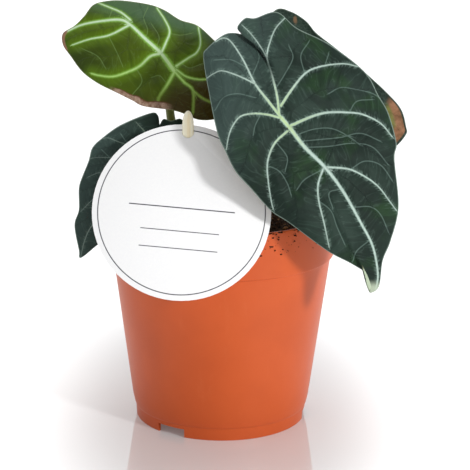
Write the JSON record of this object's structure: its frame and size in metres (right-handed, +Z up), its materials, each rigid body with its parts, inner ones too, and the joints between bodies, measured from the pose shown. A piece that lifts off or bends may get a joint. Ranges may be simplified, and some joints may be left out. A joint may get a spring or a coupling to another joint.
{
  "type": "potted velvet alocasia",
  "caption": "Small aroid house plant with dark velvety silver-veined leaves, in a tapered plastic nursery pot with a round card on a wooden stick.",
  "frame": {"origin": "centre of the pot's base, on the surface it stands on", "axes": "+Z up along the pot's axis, -Y towards the side the picture shows, +X to the picture's right"},
  "size_m": [0.1876, 0.1382, 0.2257],
  "materials": {
    "terracotta_plastic": "terracotta-orange injection-moulded plastic, satin",
    "potting_soil": "dark damp peat with fibres; wood stands in for peat",
    "rootstock_bark": "brown, ringed, dry",
    "stalk_green": "green mottled brown, smooth; plastic stands in for plant tissue",
    "dark_velvet_leaf": "green-black velvet with silver veins; plastic stands in for plant tissue",
    "leaf_underside": "brown-pink matt underside with raised veins; plastic stands in for plant tissue",
    "young_leaf": "bright young green with pale veins; plastic stands in for plant tissue",
    "white_card": "white uncoated card with thin grey lines",
    "pale_wood": "pale bare birch"
  },
  "bodies": {
    "root": {"pot": "terracotta_plastic", "soil": "potting_soil", "rootstock": "rootstock_bark", "stalk_front": "stalk_green", "stalk_back_left": "stalk_green", "stalk_left": "stalk_green", "stalk_rear": "stalk_green", "blade_front": "dark_velvet_leaf", "blade_left": "dark_velvet_leaf", "blade_rear": "leaf_underside", "blade_back_left": "young_leaf", "card": "white_card", "card_stick": "pale_wood"}
  },
  "joints": []
}
